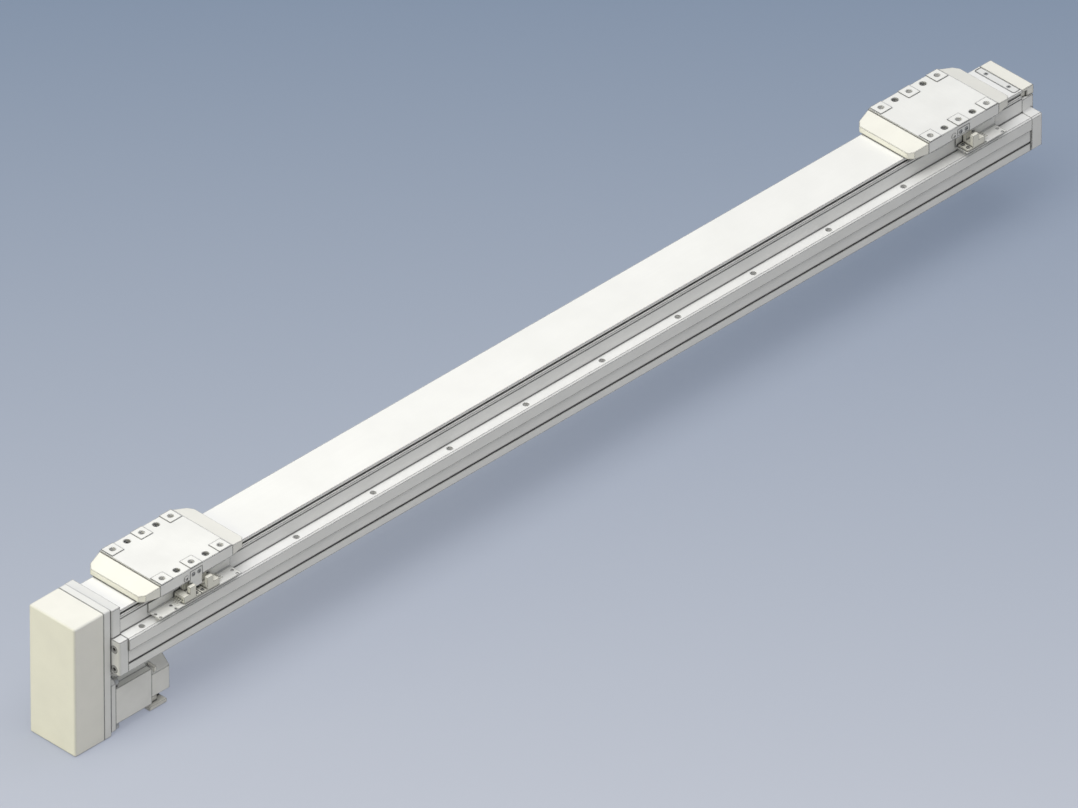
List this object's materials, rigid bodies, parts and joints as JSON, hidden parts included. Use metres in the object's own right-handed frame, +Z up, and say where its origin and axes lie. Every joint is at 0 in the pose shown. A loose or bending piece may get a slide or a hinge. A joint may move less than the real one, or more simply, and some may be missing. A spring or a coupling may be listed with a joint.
{
  "type": "ball screw linear axis",
  "caption": "Linear axis with a belt-driven screw in an extruded rail, moving low carriages over a flat cover, with photo sensors on one side.",
  "frame": {"origin": "centre of the mounting hole pattern, on the underside of the base rail", "axes": "+X along the rail from the motor end to the far end, +Z up, out of the tables; the sensors are on the -Y side"},
  "size_m": [1.2625, 0.089, 0.1491],
  "materials": {
    "rail_aluminium": "satin anodised",
    "machined_aluminium": "fine machined",
    "ground_steel": "ground",
    "plated_steel": "zinc plated",
    "fastener_steel": "dark plated",
    "pale_plastic": "fine grained",
    "dark_plastic": "fine grained",
    "motor_paint": "satin paint",
    "belt_rubber": "matt",
    "bumper_rubber": "matt"
  },
  "bodies": {
    "frame_body": {"base_rail": "rail_aluminium", "guide_rail_left": "ground_steel", "guide_rail_right": "ground_steel", "motor_end_block": "machined_aluminium", "end_block_screws": "fastener_steel", "fixed_bearing_outer_ring": "ground_steel", "support_bearing_outer_ring": "ground_steel", "bearing_retainer": "ground_steel", "timing_belt": "belt_rubber", "belt_plate": "machined_aluminium", "plate_screws": "fastener_steel", "belt_cover": "pale_plastic", "belt_cover_screws": "fastener_steel", "motor_flange": "machined_aluminium", "motor_housing": "motor_paint", "encoder_cover": "dark_plastic", "motor_screws": "fastener_steel", "power_connector": "dark_plastic", "encoder_connector": "dark_plastic", "top_cover": "rail_aluminium", "cover_clamp_bar": "machined_aluminium", "cover_clamp_screws": "fastener_steel", "support_housing": "machined_aluminium", "far_end_plate": "machined_aluminium", "far_plate_screws": "fastener_steel", "far_end_cap": "pale_plastic", "bumpers": "bumper_rubber", "sensor_bracket_left": "plated_steel", "sensor_bracket_right": "plated_steel", "home_sensor": "dark_plastic", "left_limit_sensor": "dark_plastic", "right_limit_sensor": "dark_plastic", "sensor_screws": "fastener_steel"},
    "screw_body": {"ball_screw": "ground_steel", "screw_pulley": "ground_steel", "lock_nut": "ground_steel", "fixed_bearing_inner_ring": "ground_steel", "support_bearing_inner_ring": "ground_steel"},
    "motor_rotor": {"motor_shaft": "ground_steel", "motor_pulley": "ground_steel"},
    "carriage_left": {"table_left": "machined_aluminium", "outer_end_cap_left": "pale_plastic", "inner_end_cap_left": "pale_plastic", "saddle_left": "machined_aluminium", "ball_nut_left": "ground_steel", "guide_blocks_left": "ground_steel", "sensor_dog_left": "plated_steel", "table_screws_left": "fastener_steel", "nut_screws_left": "fastener_steel"},
    "carriage_right": {"table_right": "machined_aluminium", "outer_end_cap_right": "pale_plastic", "inner_end_cap_right": "pale_plastic", "saddle_right": "machined_aluminium", "ball_nut_right": "ground_steel", "guide_blocks_right": "ground_steel", "sensor_dog_right": "plated_steel", "table_screws_right": "fastener_steel", "nut_screws_right": "fastener_steel"}
  },
  "joints": [
    {"name": "screw_spin", "type": "hinge", "parent": "frame_body", "child": "screw_body", "pos_m": [0, 0, 0.0397], "axis": [1, 0, 0], "range_deg": [0, 15480]},
    {"name": "motor_spin", "type": "hinge", "parent": "frame_body", "child": "motor_rotor", "pos_m": [-0.59, 0, -0.0428], "axis": [1, 0, 0], "range_deg": [0, 15480]},
    {"name": "carriage_left_slide", "type": "slide", "parent": "frame_body", "child": "carriage_left", "axis": [1, 0, 0], "range_m": [0, 0.43]},
    {"name": "carriage_right_slide", "type": "slide", "parent": "frame_body", "child": "carriage_right", "axis": [1, 0, 0], "range_m": [-0.43, 0]}
  ],
  "couplings": [
    {"joint": "motor_spin", "follows": "screw_spin", "ratio": 1},
    {"joint": "carriage_left_slide", "follows": "screw_spin", "m_per_rad": 0.0015915},
    {"joint": "carriage_right_slide", "follows": "screw_spin", "m_per_rad": -0.0015915}
  ]
}
